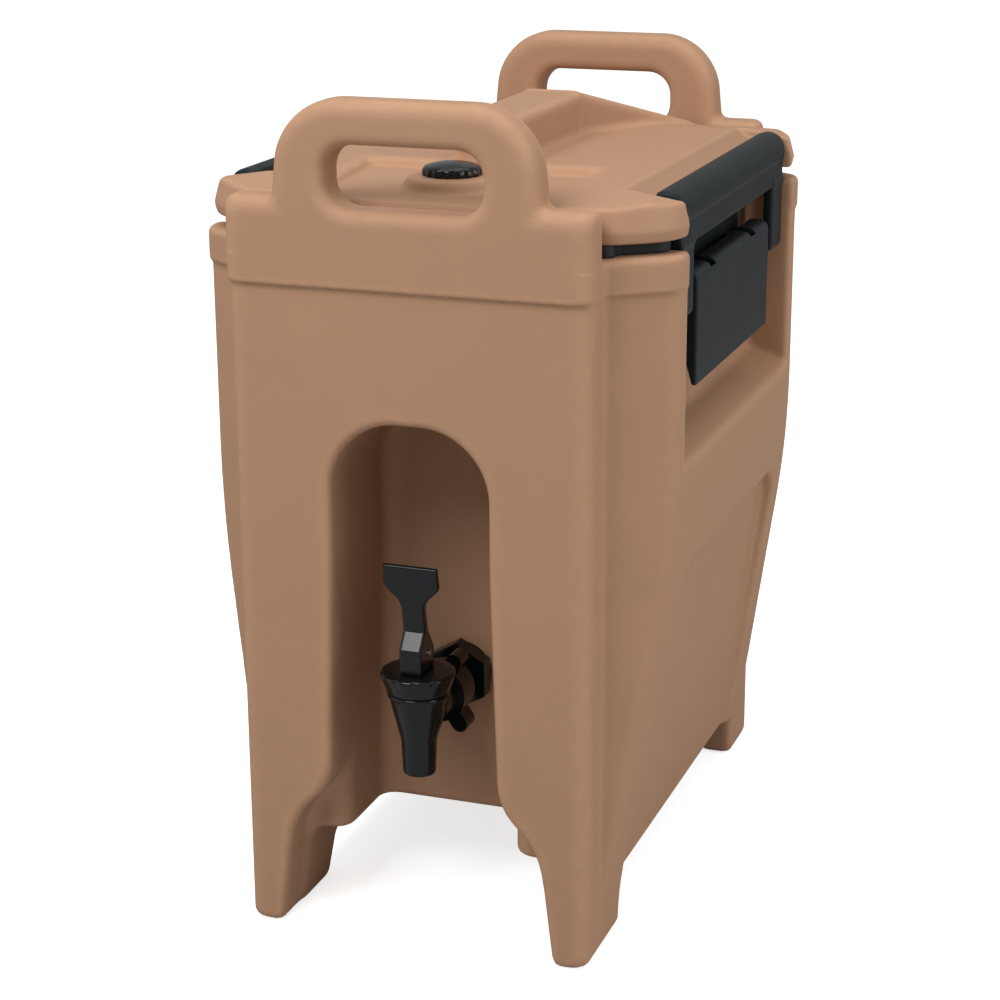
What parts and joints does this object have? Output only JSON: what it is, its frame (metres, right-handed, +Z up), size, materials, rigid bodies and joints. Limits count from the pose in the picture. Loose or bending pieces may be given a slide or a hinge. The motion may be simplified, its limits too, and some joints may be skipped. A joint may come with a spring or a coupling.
{
  "type": "insulated beverage carrier",
  "caption": "Insulated drink carrier with moulded handles and feet, a lift-off lid held by draw latches, a vent cap and a lever tap in a front bay",
  "frame": {"origin": "middle of the footprint, on the floor", "axes": "+Z up, -Y to the front with the tap, +X to the right-hand latch"},
  "size_m": [0.268, 0.3705, 0.465],
  "materials": {
    "tan_polyethylene": "satin moulded polyethylene, coffee beige",
    "latch_plastic": "satin moulded nylon, dark grey",
    "tap_plastic": "half-gloss moulded plastic, black",
    "seal_rubber": "soft moulded rubber",
    "foam": "rigid insulating foam",
    "pin_steel": "stainless steel"
  },
  "bodies": {
    "carrier": {"body_shell": "tan_polyethylene", "rim_band": "tan_polyethylene", "handle_front": "tan_polyethylene", "handle_rear": "tan_polyethylene", "base_panel": "tan_polyethylene", "feet_right": "tan_polyethylene", "feet_left": "tan_polyethylene", "bay_liner": "tan_polyethylene", "tank_liner": "tan_polyethylene", "mouth_liner": "tan_polyethylene", "pocket_liner_right": "tan_polyethylene", "pocket_liner_left": "tan_polyethylene", "foam_core": "foam", "foam_plug": "tan_polyethylene", "latch_bracket_right": "latch_plastic", "bracket_screws_right": "pin_steel", "lever_pin_right": "pin_steel", "latch_bracket_left": "latch_plastic", "bracket_screws_left": "pin_steel", "lever_pin_left": "pin_steel", "faucet_shank": "tap_plastic", "bay_washer": "seal_rubber", "shank_nut": "tap_plastic", "tank_washer": "seal_rubber", "tank_nut": "tap_plastic", "coupling_nut": "tap_plastic", "faucet_body": "tap_plastic", "faucet_bonnet": "tap_plastic", "stem_spring": "pin_steel"},
    "lid": {"lid_shell": "tan_polyethylene", "lid_foam": "foam", "lid_gasket": "seal_rubber", "vent_seal": "seal_rubber"},
    "vent": {"vent_cap": "tap_plastic"},
    "lever_right": {"latch_lever_right": "latch_plastic", "bail_pin_right": "pin_steel"},
    "bail_right": {"latch_bail_right": "latch_plastic"},
    "lever_left": {"latch_lever_left": "latch_plastic", "bail_pin_left": "pin_steel"},
    "bail_left": {"latch_bail_left": "latch_plastic"},
    "tap_stem": {"faucet_stem": "pin_steel", "seat_cup": "seal_rubber", "lever_pin_tap": "pin_steel"},
    "tap_lever": {"faucet_lever": "tap_plastic"}
  },
  "joints": [
    {"name": "lid_lift", "type": "slide", "parent": "carrier", "child": "lid", "axis": [0, 0, 1], "range_m": [0, 0.24]},
    {"name": "vent_turn", "type": "hinge", "parent": "lid", "child": "vent", "pos_m": [0, -0.1085, 0.42], "axis": [0, 0, 1], "range_deg": [0, 90]},
    {"name": "latch_right_open", "type": "hinge", "parent": "carrier", "child": "lever_right", "pos_m": [0.1215, 0, 0.362], "axis": [0, -1, 0], "range_deg": [0, 100]},
    {"name": "bail_right_swing", "type": "hinge", "parent": "lever_right", "child": "bail_right", "pos_m": [0.1215, 0, 0.35], "axis": [0, -1, 0], "range_deg": [-116, 0]},
    {"name": "latch_left_open", "type": "hinge", "parent": "carrier", "child": "lever_left", "pos_m": [-0.1215, 0, 0.362], "axis": [0, 1, 0], "range_deg": [0, 100]},
    {"name": "bail_left_swing", "type": "hinge", "parent": "lever_left", "child": "bail_left", "pos_m": [-0.1215, 0, 0.35], "axis": [0, 1, 0], "range_deg": [-116, 0]},
    {"name": "tap_stem_lift", "type": "slide", "parent": "carrier", "child": "tap_stem", "axis": [0, 0, 1], "range_m": [0, 0.0033], "deforming": ["stem_spring"]},
    {"name": "tap_lever_pull", "type": "hinge", "parent": "tap_stem", "child": "tap_lever", "pos_m": [0, -0.1675, 0.1695], "axis": [1, 0, 0], "range_deg": [0, 18], "stiffness_Nm_per_rad": 0.8}
  ],
  "couplings": [
    {"joint": "bail_right_swing", "follows": "latch_right_open", "ratio": -1.15},
    {"joint": "bail_left_swing", "follows": "latch_left_open", "ratio": -1.15},
    {"joint": "tap_stem_lift", "follows": "tap_lever_pull", "m_per_rad": 0.0095}
  ]
}
